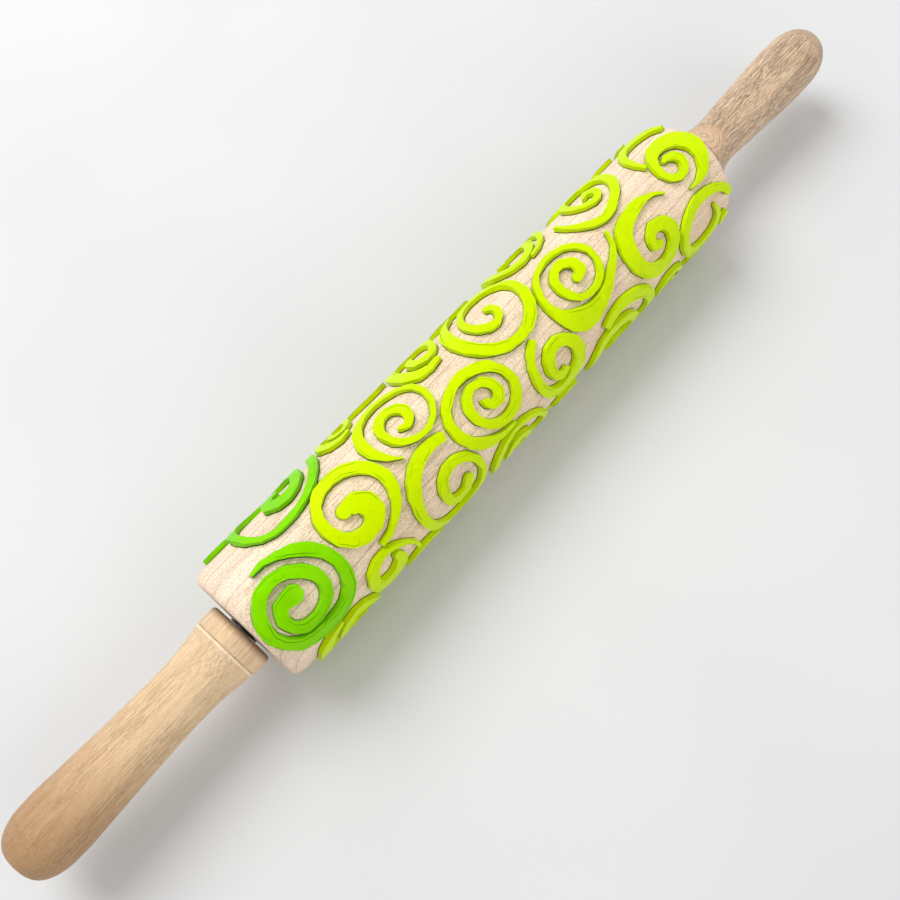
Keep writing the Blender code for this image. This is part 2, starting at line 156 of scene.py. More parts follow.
# Its thickness and the rounding of its top edges, how unevenly its top lies, how much of the
# shoulder's drop its top follows, how far its underside goes into the barrel, and where the
# underside has points
FOAM_THICKNESS = 0.0020
EDGE_ROUND = 0.00006
EDGE_ROUND_WIDTH_SHARE = 0.15
SAG = 0.00003
FOAM_DROP_SHARE = 0.45
SUNK = 0.00004
UNDERSIDE_SHARES = (0.67, 0.33)

# The painted shadow line at its foot, a thin dark skirt that is wider on the sides which face
# away from the key light: its least and its most width, the shares of that in the mean, from
# the side that it faces and from chance, its height, and the share of its width that is as high
SHADOW_LINE_LEAST = 0.00006
SHADOW_LINE_MOST = 0.00026
SHADOW_LINE_MEAN_SHARE = 0.30
SHADOW_LINE_SIDE_SHARE = 0.62
SHADOW_LINE_CHANCE_SHARE = 0.4
SHADOW_LINE_LIFT = 0.00005
SHADOW_LINE_RISE_SHARE = 0.8

# A second cut beside the edge of the wider strips, where the blade went round twice: how wide
# such a strip is, how far in the cut lies and how much that drifts, and its width, its depth
# and the painted shade in it. Gain and loss turn chance into how much of it shows.
SCORED_WIDTH = 0.0034
SCORE_INSET = 0.00075
SCORE_DRIFT = 0.00040
SCORE_INSET_SHARE = 0.38
SCORE_HALF_WIDTH = 0.00016
SCORE_HALF_WIDTH_SHARE = 0.45
SCORE_DEPTH = 0.00030
SCORE_PAINTED_SHADE = 0.10
SCORE_GAIN = 4.0
SCORE_LOSS = 0.4

# How far up the cut the material takes a point to be, from 0 in the painted shadow line to 1 on
# the top: at the foot of a wall, on the wall at the same share of its height, at its upper end,
# and halfway round the top edge. The material paints shade down the walls by it. Then the share
# of the lean that its upper end has, and the share of the rounding that is left halfway round it.
CUT_FOOT = 0.08
CUT_WALL = 0.42
CUT_WALL_END = 0.91
CUT_ROUND = 0.97
WALL_END_SHARE = 0.88
HALF_ROUND_SHARE = 0.30

# Chance over the foam's sheet, as smooth noise: its waves a metre, how far apart in it two
# swirls and the two sides of a strip are, and for each use its pace and its shift
WALL_WAVES = 260
WALL_SEED_STEP = 7.3
WALL_SIDE_STEP = 3.1
WOBBLE_PACE = 2.4
LEAN_PACE = 0.42
LEAN_SHIFT = Vector((11.0, 5.0, 2.0))
SHADOW_LINE_PACE = 1.3
SHADOW_LINE_SHIFT = Vector((3.0, 8.0, 6.0))
SCORE_WAVES = 95
SCORE_SEED_STEP = 3.7
SCORE_SIDE_STEP = 9.1
SCORE_DRIFT_PACE = 1.9
SAG_WAVES = 170

# The woods. Tones are in 0 to 255. The pith is at an angle round the pin and a distance from
# its axis. Rings have their spacing, how much they slope along the pin and wander, where in a
# ring its dark line starts, and its strength. Fibres and rays have their waves a metre along
# and across the grain and their strength. The least share of fibres is what shows everywhere,
# and rays show where the noise passes a level. The relief is the depth of the bump.
BARREL_BEECH = SimpleNamespace(
    pale=(255, 237, 217), deep=(250, 227, 202), line=(146, 100, 66), fleck=(196, 150, 112),
    pith_deg=70.0, pith_distance=-0.060,
    ring_spacing=0.0030, ring_slope=0.016, ring_wander=0.0040, ring_dark_from=0.78,
    ring_strength=0.80,
    fibres=(70, 2000), fibre_least=0.35, fibre_strength=0.36,
    rays=(1500, 2900), ray_level=0.51, ray_strength=0.50,
    relief=0.00007,
)
NEAR_MAPLE = SimpleNamespace(
    pale=(240, 212, 174), deep=(226, 193, 150), line=(164, 118, 78), fleck=(184, 138, 94),
    pith_deg=-10.0, pith_distance=0.045,
    ring_spacing=0.0030, ring_slope=0.012, ring_wander=0.0022, ring_dark_from=0.78,
    ring_strength=0.30,
    fibres=(30, 2100), fibre_least=0.35, fibre_strength=0.40,
    rays=(500, 3000), ray_level=0.56, ray_strength=0.24,
    relief=0.00009,
)
FAR_BEECH = SimpleNamespace(
    pale=(236, 208, 178), deep=(223, 192, 159), line=(138, 92, 54), fleck=(146, 98, 58),
    pith_deg=-20.0, pith_distance=-0.070,
    ring_spacing=0.0030, ring_slope=-0.040, ring_wander=0.0018, ring_dark_from=0.92,
    ring_strength=0.90,
    fibres=(52, 2300), fibre_least=0.55, fibre_strength=0.68,
    rays=(420, 3000), ray_level=0.60, ray_strength=0.20,
    relief=0.00020,
)

# What all woods share: noises in waves a metre along and across the grain, ramps in pairs of
# a level and a shade, and the shape of a ring's dark line
DRIFT_WAVES = (7, 26)
PATCH_WAVES = (12, 45)
PATCH_RAMP = ((0.34, 0.0), (0.70, 1.0))
RING_DARKEST = 0.972
RING_DARKENING_SHARE = 0.78
RING_EARLY_SHADE = 0.05
RING_DARKENING_SHADE = 0.35
RING_STRENGTH_LEAST = 0.30
BREAK_WAVES = (90, 260)
BREAK_RAMP = ((0.30, 0.45), (0.62, 1.0))
ROUGH_WAVES = (22, 120)
ROUGH_LEVELS = (0.34, 0.54)
STREAK_RAMP = ((0.440, 0.0), (0.468, 1.0), (0.492, 1.0), (0.515, 0.0))
RIDGE_RAMP = ((0.515, 0.0), (0.545, 1.0), (0.62, 0.0))
RIDGE_TONE = (250, 236, 214)
RAY_LEVEL_SPAN = 0.08
PORE_WAVES = (1500, 6000)
PORE_ROUGHNESS_RAMP = ((0.3, 0.44), (0.7, 0.58))
WOOD_SPECULAR = 0.42

# How high each part of a wood's pattern stands, in shares of its relief
RAY_HEIGHT = -0.35
STREAK_HEIGHT = -0.55
RIDGE_HEIGHT = 0.45
PORE_HEIGHT = 0.40
RING_HEIGHT = -0.30

# The knot in the far handle: its place along the pin, its distance from the axis and its angle
# round it, how far it reaches, and how much it swells the rings round it
KNOT_ALONG = 0.1372
KNOT_OUT = 0.0107
KNOT_DEG = -24
KNOT_REACH = 0.0125
KNOT_SWELL = 0.0050

# What a knot looks like, in shares of its reach, and how calm the fibres are beside it
KNOT_RING_SHARE = 0.19
KNOT_RING_RAMP = ((0.0, 0.25), (0.12, 0.0), (0.80, 0.0), (0.94, 1.0), (1.0, 0.25))
KNOT_RING_STRENGTH = 0.55
KNOT_DRIFT_SHARE = 0.4
KNOT_FULL_SHARE = 0.5
KNOT_HEART_SHARES = (0.11, 0.04)
KNOT_CALM_SHARE = 0.35
KNOT_CALM_LEAST = 0.25

# What darkens or lightens the near handle: its butt, darker from one place along the pin to
# another, partly in the wood's own deeper tone and partly as painted shade; the ridge where its
# grip starts, a pale band that is partly paler wood and partly a painted highlight; and the face
# of its collar, with painted shade from the gap at the barrel
BUTT_DARK_FROM = -0.155
BUTT_DARKEST = -0.214
BUTT_STRENGTH = 0.66
BUTT_TONE = (156, 110, 66)
GRIP_RIDGE_HALF_WIDTH = 0.0005
GRIP_RIDGE_BEHIND_SHARE = 0.8
GRIP_RIDGE_FULL_SHARE = 0.5
GRIP_RIDGE_STRENGTH = 0.72
GRIP_RIDGE_TONE = (252, 240, 216)
FACE_SHADE_DEPTH = COLLAR_ROUND * 2.4
FACE_SHADE_STRENGTH = 0.85
FACE_SHADE_TONE = (96, 64, 38)

# The foams' tones, and what they share. Each wall tone is the painted shade down the cut walls
# and also the tone of the fine specks on the top.
FOAMS = {
    "lime": SimpleNamespace(
        plain=(197, 231, 0), rubbed=(205, 238, 6), wall=(106, 122, 0), gleam=(220, 255, 0)
    ),
    "green": SimpleNamespace(
        plain=(124, 208, 0), rubbed=(150, 226, 30), wall=(46, 102, 0), gleam=(160, 255, 0)
    ),
}
RUBBED_WAVES = 70
RUBBED_RAMP = ((0.42, 0.0), (0.66, 1.0))
RUBBED_STRENGTH = 0.40
SPECK_WAVES = 420
SPECK_RAMP = ((0.52, 0.0), (0.75, 1.0))
SPECK_STRENGTH = 0.16
# Painted shade down the cut walls, darkest at the foot and again at the top edge, which also
# darkens the scores; then the painted shadow line at the foot and its tone
WALL_SHADE_RAMP = ((0.10, 1.0), (0.22, 0.14), (0.80, 0.0), (CUT_WALL_END, 0.42), (1.0, 0.0))
SHADOW_LINE_RAMP = ((CUT_FOOT, 1.0), (0.17, 0.0))
SHADOW_LINE_TONE = (32, 32, 12)
CELL_WAVES = 3200.0
CELL_HEIGHT = 0.5
SKIN_WAVES = 1900.0
FOAM_ROUGHNESS = 0.42
FOAM_SPECULAR = 0.38
FOAM_RELIEF = 0.00005

# The steel and the nylon inside
STEEL_WAVES = (60, 4200)
STEEL_RAMP = ((0.3, (150, 150, 154)), (0.7, (196, 196, 200)))
STEEL_ROUGHNESS_RAMP = ((0.3, 0.28), (0.7, 0.44))
STEEL_RELIEF = 0.00003
NYLON_WAVES = 420.0
# The nylon's dark tones, partly its own colour and partly painted shade for the gap at the collar
NYLON_RAMP = ((0.35, (30, 29, 28)), (0.7, (48, 46, 44)))
NYLON_ROUGHNESS = 0.46
NYLON_GRAIN_WAVES = 3000.0
NYLON_RELIEF = 0.00002

# The camera, from where the photo was taken
CAMERA_PLACE = (-0.1304, -0.0954, 0.3102)
CAMERA_TURN_DEG = (23.0076, -0.0147, -48.9103)
CAMERA_LENS = 37.34
CAMERA_SENSOR = 36.0
CAMERA_NEAREST = 0.01
CAMERA_FARTHEST = 30.0

# The lights, which point at the middle of the barrel: name, place, width, power in watts and
# colour. Then the even light of the room.
LIGHTS = (
    ("key", (-0.12, 0.85, 1.15), 1.0, 16.0, (1.0, 0.985, 0.965)),
    ("fill", (0.25, -1.1, 0.75), 1.1, 4.5, (1.0, 0.95, 0.88)),
)
ROOM_COLOUR = (1.0, 0.965, 0.92, 1.0)
ROOM_STRENGTH = 0.62

# The floor, a hair below the roller
FLOOR_SIZE = 6.0
FLOOR_GAP = 0.0001
FLOOR_WAVES = 5.0
FLOOR_RAMP = ((0.3, (208, 211, 215)), (0.7, (216, 219, 223)))
FLOOR_ROUGHNESS = 0.85
FLOOR_SPECULAR = 0.2

# The angle from which an edge is shaded sharp, on wood and on foam
SHARP_DEG = 35
FOAM_SHARP_DEG = 42

# The sockets of a colour mix: its factor, its two colours and its result
MIX_FACTOR, MIX_FIRST, MIX_SECOND = 0, 6, 7
MIX_RESULT = 2

# A swirl's spine: the direction in which it starts from its centre, how far it winds (negative
# is clockwise on the sheet), then its distance from the centre and its width, both in modules,
# at even turns from the inner end to the outer one.
SWIRL_SHARES = {
    "tight": (
        -110, -719,
        (0.84, 1.75, 1.87, 1.55, 1.5, 1.64, 1.93, 2.62, 3.07, 2.97, 2.76, 3.12, 3.2, 3.28, 3.84),
        (1.4, 1.0, 0.92, 0.8, 0.88, 0.92, 1.04, 1.0, 0.98, 0.98, 1.08, 1.05, 0.86, 0.96, 0.3),
    ),
    "comma": (
        -134, 589,
        (0.75, 0.5, 0.65, 1.05, 1.55, 1.85, 2.25, 2.7, 2.95, 3.1, 2.82, 3.0),
        (1.15, 1.45, 1.65, 1.75, 1.4, 1.15, 0.95, 0.88, 1.0, 1.0, 0.7, 0.4),
    ),
    "plate": (
        118, -710,
        (0.6, 0.8, 0.9, 1.1, 1.3, 1.4, 1.5, 1.8, 2.43, 2.95, 2.78, 2.88, 2.95, 2.68),
        (0.4, 0.6, 0.8, 0.9, 0.9, 0.8, 0.7, 0.5, 0.5, 0.55, 0.6, 0.7, 0.9, 0.2),
    ),
    "target": (
        -148, -853,
        (
            0.52, 0.43, 0.45, 0.63, 0.8, 1.1, 1.62, 1.83, 1.78,
            1.98, 2.2, 2.26, 2.38, 2.85, 3.55, 3.1, 2.8,
        ),
        (
            0.72, 0.72, 0.72, 0.84, 0.85, 0.76, 0.76, 0.78, 0.7,
            0.78, 0.88, 0.76, 1.0, 0.82, 0.85, 0.85, 0.3,
        ),
    ),
    "hook": (
        60, 555,
        (0.5, 0.8, 1.0, 1.35, 1.8, 1.86, 1.85, 1.84, 2.24, 2.54, 3.2),
        (0.6, 0.7, 0.8, 1.0, 1.04, 1.02, 1.2, 1.06, 0.88, 0.82, 0.6),
    ),
    "wide": (
        -75, 688,
        (0.7, 0.8, 0.73, 0.85, 1.07, 1.6, 2.35, 3.03, 3.25, 3.1, 2.9, 3.0, 3.35, 3.7),
        (0.5, 0.7, 0.7, 0.7, 0.75, 0.75, 0.6, 0.55, 0.75, 0.95, 0.9, 1.0, 1.1, 0.3),
    ),
    "tailed": (
        77, -806,
        (
            0.2, 0.35, 0.72, 1.17, 1.53, 1.65, 1.62, 1.64, 1.74, 2.07,
            2.43, 2.61, 2.63, 3.03, 3.33, 3.27, 2.76, 2.93, 4.5,
        ),
        (
            0.8, 0.97, 1.02, 0.97, 0.86, 0.78, 0.7, 0.62, 0.55, 0.56,
            0.6, 0.6, 0.56, 0.62, 0.82, 1.94, 1.2, 0.68, 0.25,
        ),
    ),
    "fat": (
        85, 604,
        (0.6, 0.5, 0.4, 0.45, 0.85, 1.6, 2.08, 2.42, 2.58, 2.78, 2.8, 3.7),
        (0.8, 1.0, 0.85, 0.85, 1.15, 1.3, 1.1, 1.12, 1.4, 1.45, 1.1, 0.2),
    ),
    "moon": (
        -120, 577,
        (0.8, 0.85, 0.95, 0.95, 1.05, 1.2, 1.45, 2.15, 2.7, 2.6, 2.35),
        (0.4, 0.85, 0.9, 0.8, 0.8, 0.75, 0.8, 1.4, 1.65, 1.0, 0.2),
    ),
    "eye": (
        -143, 687,
        (0.2, 0.5, 0.75, 0.85, 0.85, 0.98, 1.65, 2.5, 2.7, 2.38, 2.18, 3.1, 3.7),
        (0.6, 0.7, 0.8, 0.75, 0.7, 0.7, 0.7, 0.7, 0.8, 0.85, 0.8, 0.75, 0.42),
    ),
    "noose": (
        -27, 379,
        (2.0, 2.05, 1.85, 2.1, 2.35, 2.15, 2.65, 3.8),
        (0.4, 0.8, 0.9, 0.95, 0.9, 0.85, 0.85, 0.7),
    ),
    "drop": (
        -38, 421,
        (0.95, 0.8, 0.8, 1.1, 1.6, 1.7, 1.7, 1.85, 2.65),
        (0.7, 1.3, 1.3, 1.3, 1.05, 0.9, 0.6, 0.45, 0.3),
    ),
    "shell": (
        34, 620,
        (1.25, 1.5, 1.35, 1.1, 1.15, 1.45, 1.9, 2.45, 3.15, 3.48, 3.33, 3.35, 3.55, 3.6),
        (0.9, 0.85, 0.8, 0.8, 0.8, 0.8, 0.78, 0.68, 0.6, 0.6, 0.72, 0.95, 1.1, 0.85),
    ),
    "arch": (
        250, -624,
        (0.45, 0.85, 1.1, 1.15, 1.4, 1.95, 2.8, 3.4, 3.97, 3.88, 2.8, 2.85, 3.55),
        (0.8, 1.0, 1.15, 1.15, 1.05, 0.95, 0.9, 0.9, 0.8, 0.55, 0.6, 0.75, 0.8),
    ),
    "ram": (
        210, -492,
        (0.6, 1.0, 1.4, 1.5, 1.35, 1.5, 1.8, 2.25, 2.45, 2.66, 2.38),
        (0.6, 0.8, 0.8, 0.8, 0.7, 0.8, 0.9, 1.0, 1.0, 1.05, 0.5),
    ),
    "snail": (
        -200, 640,
        (0.5, 0.8, 1.2, 1.6, 2.0, 2.2, 2.5, 2.5, 2.7, 3.0, 3.3, 3.23, 2.89),
        (0.6, 0.8, 0.9, 0.9, 0.9, 0.9, 0.9, 0.9, 0.9, 0.8, 0.8, 0.6, 0.3),
    ),
    "crescent": (
        157, 183,
        (2.5, 2.52, 2.64, 2.5, 2.4, 2.4),
        (0.3, 0.6, 0.8, 0.95, 0.95, 0.6),
    ),
    "bowl": (
        551, -672,
        (0.6, 1.1, 1.4, 1.7, 1.85, 1.9, 2.05, 2.85, 3.3, 3.1, 3.0, 3.5, 3.95, 3.55, 3.36),
        (0.6, 0.9, 0.9, 0.9, 0.9, 0.9, 0.9, 0.9, 0.9, 0.9, 0.9, 1.0, 1.1, 1.0, 0.75),
    ),
    "crab": (
        -330, 571,
        (0.6, 1.1, 1.4, 1.5, 1.55, 1.5, 1.6, 1.9, 2.3, 2.65, 3.25, 2.5),
        (0.6, 0.8, 0.9, 1.0, 1.0, 0.9, 0.8, 0.8, 0.9, 1.0, 1.25, 0.4),
    ),
    "dash": (
        180, 70,
        (1.0, 1.0, 1.0),
        (0.6, 0.9, 0.6),
    ),
}

# These are cut round at the inner end.
ROUND_ENDED = (
    "tight", "comma", "plate", "tailed", "fat", "shell", "arch", "snail", "bowl", "crab", "drop",
)

# Each swirl on the barrel, row by row: its shape, how far its centre is from the near end in
# modules, its angle round the barrel in degrees, how far it is turned on the sheet, its scale
# and its foam.
ROW_SHARES = {
    "upper": (
        ("arch", 7.6, -67, 0, 1.0, "green"),
        ("ram", 13.75, -77.5, 0, 0.74, "lime"),
        ("plate", 16.43, -27, 0, 1.0, "lime"),
        ("ram", 21.64, -68.5, 0, 0.99, "lime"),
        ("wide", 26.8, -36, 0, 1.0, "lime"),
        ("snail", 32.6, -79, 0, 0.95, "lime"),
        ("eye", 40.0, -52, 0, 1.0, "lime"),
        ("crescent", 46.9, -38, 0, 1.0, "lime"),
    ),
    "middle": (
        ("tight", 3.70, 16.2, 0, 1.0, "green"),
        ("comma", 9.95, -2, 0, 1.0, "lime"),
        ("target", 22.13, 13, 0, 1.01, "lime"),
        ("tailed", 33.4, -6, 0, 1.0, "lime"),
        ("fat", 40.6, 21, 0, 1.0, "lime"),
        ("moon", 46.1, -12, 0, 1.0, "lime"),
    ),
    "lower": (
        ("crab", 5.7, 80.2, 0, 1.0, "lime"),
        ("drop", 9.4, 56.5, 0, 1.0, "lime"),
        ("shell", 16.4, 43, 0, 1.0, "lime"),
        ("plate", 22.8, 79.8, 0, 0.95, "lime"),
        ("hook", 28.25, 39.5, 0, 1.0, "lime"),
        ("bowl", 34.8, 80.3, 0, 1.0, "lime"),
        ("hook", 41.3, 81, 200, 0.68, "lime"),
        ("noose", 45.4, 51.5, 0, 1.0, "lime"),
        ("dash", 49.0, 72, 0, 1.0, "lime"),
    ),
    "front": (
        ("hook", 2.7, 134, 40, 0.75, "lime"),
        ("hook", 12.3, 92, 120, 0.70, "lime"),
        ("comma", 8.7, 127, 200, 0.80, "lime"),
        ("fat", 16.2, 124, 160, 0.85, "lime"),
        ("drop", 21.7, 139, 30, 0.70, "lime"),
        ("moon", 26.9, 128, 60, 0.80, "lime"),
        ("drop", 28.2, 90, 150, 0.80, "lime"),
        ("drop", 31.9, 140, 250, 0.70, "lime"),
        ("drop", 35.9, 139, 100, 0.66, "lime"),
        ("comma", 40.6, 133.2, 20, 0.68, "lime"),
        ("eye", 46.6, 113, 90, 0.85, "lime"),
    ),
    "base": (
        ("moon", 3.6, 200, 200, 0.95, "lime"),
        ("plate", 9.4, 203, 90, 0.92, "lime"),
        ("fat", 15.5, 201, 20, 0.85, "lime"),
        ("target", 21.8, 202, 140, 0.75, "lime"),
        ("hook", 28.0, 200, 120, 0.95, "lime"),
        ("eye", 34.0, 200, 180, 0.85, "lime"),
        ("comma", 40.3, 204, 300, 0.86, "lime"),
        ("shell", 46.4, 202.5, 60, 0.77, "lime"),
    ),
    "back": (
        ("drop", 2.5, 264, 150, 0.45, "green"),
        ("hook", 17.4, 258, 30, 0.85, "lime"),
        ("drop", 21.9, 249, 200, 0.50, "lime"),
        ("comma", 26.9, 255, 250, 0.80, "lime"),
        ("moon", 40.2, 242, 90, 0.74, "lime"),
        ("fat", 46.0, 257, 120, 0.72, "lime"),
    ),
}

# Small nicks in the foam: each one's place from the near end in modules, its angle round the
# barrel and its radius, then the depth of all
NICKS = (
    (4.45, 46.0, 0.0006), (7.6, -57.0, 0.0007), (20.4, 27.0, 0.0005),
    (24.1, 1.0, 0.0005), (36.8, 6.0, 0.0006), (43.2, 36.0, 0.0005),
)
NICK_DEPTH = 0.0005


def clamp(value, low=0.0, high=1.0):
    return min(high, max(low, value))


def between(first, second, share):
    """The value that is this share of the way from the first to the second."""
    return first * (1 - share) + second * share


def hermite(first, second, in_slope, out_slope, t):
    """A smooth curve from one value to another, with the slopes that it has at both."""
    rise = second - first
    return first + t * (in_slope + t * (
        3 * rise - 2 * in_slope - out_slope + t * (in_slope + out_slope - 2 * rise)
    ))


def tone(red, green, blue):
    """A colour given in 0 to 255, as the linear colour that a shader takes, by sRGB's formula."""
    linear = []
    for value in (red, green, blue):
        share = value / 255
        linear.append(share / 12.92 if share <= 0.04045 else ((share + 0.055) / 1.055) ** 2.4)
    return (*linear, 1.0)


class Graph:
    """A material's nodes, built in a few words."""

    def __init__(self, name):
        self.material = bpy.data.materials.new(name)
        self.material.use_nodes = True
        self.tree = self.material.node_tree
        self.shader = self.tree.nodes["Principled BSDF"]
        self.coords = self.tree.nodes.new("ShaderNodeTexCoord").outputs["Object"]
        parts = self.node("ShaderNodeSeparateXYZ", (self.coords,))
        self.x, self.y, self.z = parts.outputs

    def node(self, kind, values=(), **settings):
        made = self.tree.nodes.new(kind)
        for key, value in settings.items():
            setattr(made, key, value)
        for socket, value in zip(made.inputs, values):
            self.feed(socket, value)
        return made

    def feed(self, socket, value):
        if isinstance(value, bpy.types.NodeSocket):
            self.tree.links.new(value, socket)
        else:
            socket.default_value = value

    def math(self, operation, first, second=0.0):
        return self.node("ShaderNodeMath", (first, second), operation=operation).outputs[0]

    def add(self, first, second):
        return self.math("ADD", first, second)

    def times(self, first, second):
        return self.math("MULTIPLY", first, second)

    def stretched(self, along, across):
        """The object's coordinates, scaled along its axis and across it."""
        return self.node(
            "ShaderNodeVectorMath", (self.coords, (along, across, across)), operation="MULTIPLY"
        ).outputs[0]

    def noise(self, vector, detail=2.0, roughness=0.5, scale=1.0):
        made = self.node("ShaderNodeTexNoise")
        for name, value in (
            ("Vector", vector), ("Scale", scale), ("Detail", detail), ("Roughness", roughness),
        ):
            self.feed(made.inputs[name], value)
        return made.outputs[0]

    def ramp(self, value, stops):
        """Turns a value into a grey share or a tone, by pairs of a level and a share or tone."""
        made = self.node("ShaderNodeValToRGB", (value,))
        points = made.color_ramp.elements
        while len(points) < len(stops):
            points.new(0.5)
        for point, (level, shade) in zip(points, stops):
            point.position = level
            point.color = tone(*shade) if isinstance(shade, tuple) else (shade, shade, shade, 1.0)
        return made.outputs[0]

    def mix(self, factor, first, second):
        made = self.node("ShaderNodeMix", data_type="RGBA")
        for index, value in ((MIX_FACTOR, factor), (MIX_FIRST, first), (MIX_SECOND, second)):
            self.feed(made.inputs[index], value)
        return made.outputs[MIX_RESULT]

    def rise(self, value, start, full):
        """0 up to start, 1 from full on, and smooth between them. Start may be the larger."""
        return self.node(
            "ShaderNodeMapRange", (value, start, full), interpolation_type="SMOOTHSTEP"
        ).outputs[0]

    def away(self, place):
        """The distance from a place on the object."""
        return self.node(
            "ShaderNodeVectorMath", (self.coords, place), operation="DISTANCE"
        ).outputs["Value"]

    def base(self, factor, first, second):
        """Starts the base colour as a mix of two tones."""
        self.colour = self.mix(factor, tone(*first), tone(*second))

    def paint(self, factor, shade):
        """Puts one more tone over the base colour."""
        self.colour = self.mix(factor, self.colour, tone(*shade))
        self.set(Base_Color=self.colour)

    def bump(self, height, distance):
        made = self.node("ShaderNodeBump")
        self.feed(made.inputs["Height"], height)
        self.feed(made.inputs["Distance"], distance)
        self.tree.links.new(made.outputs["Normal"], self.shader.inputs["Normal"])

    def set(self, **values):
        for name, value in values.items():
            self.feed(self.shader.inputs[name.replace("_", " ")], value)


def from_pith(graph, wood, drift, knots):
    """Each point's distance from the pith, as the rings' slope, wander and knots change it."""
    turn = math.radians(wood.pith_deg + SHEET_TILT_DEG)
    from_y = graph.add(graph.y, math.sin(turn) * wood.pith_distance)
    from_z = graph.add(graph.z, -math.cos(turn) * wood.pith_distance)
    squares = graph.add(graph.times(from_y, from_y), graph.times(from_z, from_z))
    distance = graph.add(graph.math("SQRT", squares), graph.times(graph.x, wood.ring_slope))
    distance = graph.add(distance, graph.times(drift, wood.ring_wander))
    for knot in knots:
        bend = graph.rise(graph.away(knot), KNOT_REACH, 0.0)
        distance = graph.add(distance, graph.times(bend, KNOT_SWELL))
    return distance


def ring_lines(graph, wood, distance):
    """The dark lines of the growth rings, each broken and as strong as chance has it."""
    rings_out = graph.math("DIVIDE", distance, wood.ring_spacing)
    own = graph.node("ShaderNodeTexWhiteNoise", noise_dimensions="1D")
    graph.feed(own.inputs["W"], graph.math("FLOOR", rings_out))
    start = wood.ring_dark_from
    darkening = start + (RING_DARKEST - start) * RING_DARKENING_SHARE
    late = graph.ramp(graph.math("FRACT", rings_out), (
        (0.0, 0.0), (start, RING_EARLY_SHADE), (darkening, RING_DARKENING_SHADE),
        (RING_DARKEST, 1.0), (1.0, 0.0),
    ))
    broken = graph.ramp(graph.noise(graph.stretched(*BREAK_WAVES)), BREAK_RAMP)
    lines = graph.times(late, graph.add(own.outputs[0], RING_STRENGTH_LEAST))
    return graph.times(graph.times(lines, broken), wood.ring_strength)


def fibre_lines(graph, wood, knots):
    """Dark streaks and pale ridges along the grain, stronger in places and calm by a knot."""
    least, most = ROUGH_LEVELS
    rough = graph.ramp(
        graph.noise(graph.stretched(*ROUGH_WAVES)), ((least, wood.fibre_least), (most, 1.0))
    )
    for knot in knots:
        calm = graph.rise(graph.away(knot), KNOT_REACH * KNOT_CALM_SHARE, KNOT_REACH)
        calm = graph.add(graph.times(calm, 1.0 - KNOT_CALM_LEAST), KNOT_CALM_LEAST)
        rough = graph.times(rough, calm)
    grain = graph.noise(graph.stretched(*wood.fibres), detail=4.0, roughness=0.6)
    streaks = graph.times(rough, graph.ramp(grain, STREAK_RAMP))
    ridges = graph.times(rough, graph.ramp(grain, RIDGE_RAMP))
    return streaks, ridges


def paint_knot(graph, knot, drift, line):
    """A knot's dark heart, in rings of its own."""
    away = graph.add(graph.away(knot), graph.times(drift, KNOT_REACH * KNOT_DRIFT_SHARE))
    circles = graph.ramp(
        graph.math("FRACT", graph.math("DIVIDE", away, KNOT_REACH * KNOT_RING_SHARE)),
        KNOT_RING_RAMP,
    )
    circles = graph.times(circles, graph.rise(away, KNOT_REACH, KNOT_REACH * KNOT_FULL_SHARE))
    graph.paint(graph.times(circles, KNOT_RING_STRENGTH), line)
    start, full = (KNOT_REACH * share for share in KNOT_HEART_SHARES)
    graph.paint(graph.rise(graph.away(knot), start, full), line)


def wood_graph(name, wood, knots=()):
    """Solid wood: growth rings round a pith, fine fibres, ray flecks, pores and knots."""
    graph = Graph(name)
    drift = graph.math("SUBTRACT", graph.noise(graph.stretched(*DRIFT_WAVES)), 0.5)
    rings = ring_lines(graph, wood, from_pith(graph, wood, drift, knots))
    streaks, ridges = fibre_lines(graph, wood, knots)
    rays = graph.ramp(
        graph.noise(graph.stretched(*wood.rays), roughness=0.55),
        ((wood.ray_level, 0.0), (wood.ray_level + RAY_LEVEL_SPAN, 1.0)),
    )
    pores = graph.noise(graph.stretched(*PORE_WAVES), detail=3.0, roughness=0.7)
    patches = graph.ramp(graph.noise(graph.stretched(*PATCH_WAVES), detail=3.0), PATCH_RAMP)
    graph.base(patches, wood.pale, wood.deep)
    graph.paint(graph.times(ridges, wood.fibre_strength), RIDGE_TONE)
    graph.paint(graph.times(streaks, wood.fibre_strength), wood.fleck)
    graph.paint(graph.times(rays, wood.ray_strength), wood.fleck)
    graph.paint(rings, wood.line)
    for knot in knots:
        paint_knot(graph, knot, drift, wood.line)
    graph.set(
        Roughness=graph.ramp(pores, PORE_ROUGHNESS_RAMP), Specular_IOR_Level=WOOD_SPECULAR
    )
    height = graph.times(rays, RAY_HEIGHT)
    for part, share in (
        (streaks, STREAK_HEIGHT), (ridges, RIDGE_HEIGHT), (pores, PORE_HEIGHT),
        (rings, RING_HEIGHT),
    ):
        height = graph.add(height, graph.times(part, share))
    graph.bump(height, wood.relief)
    return graph


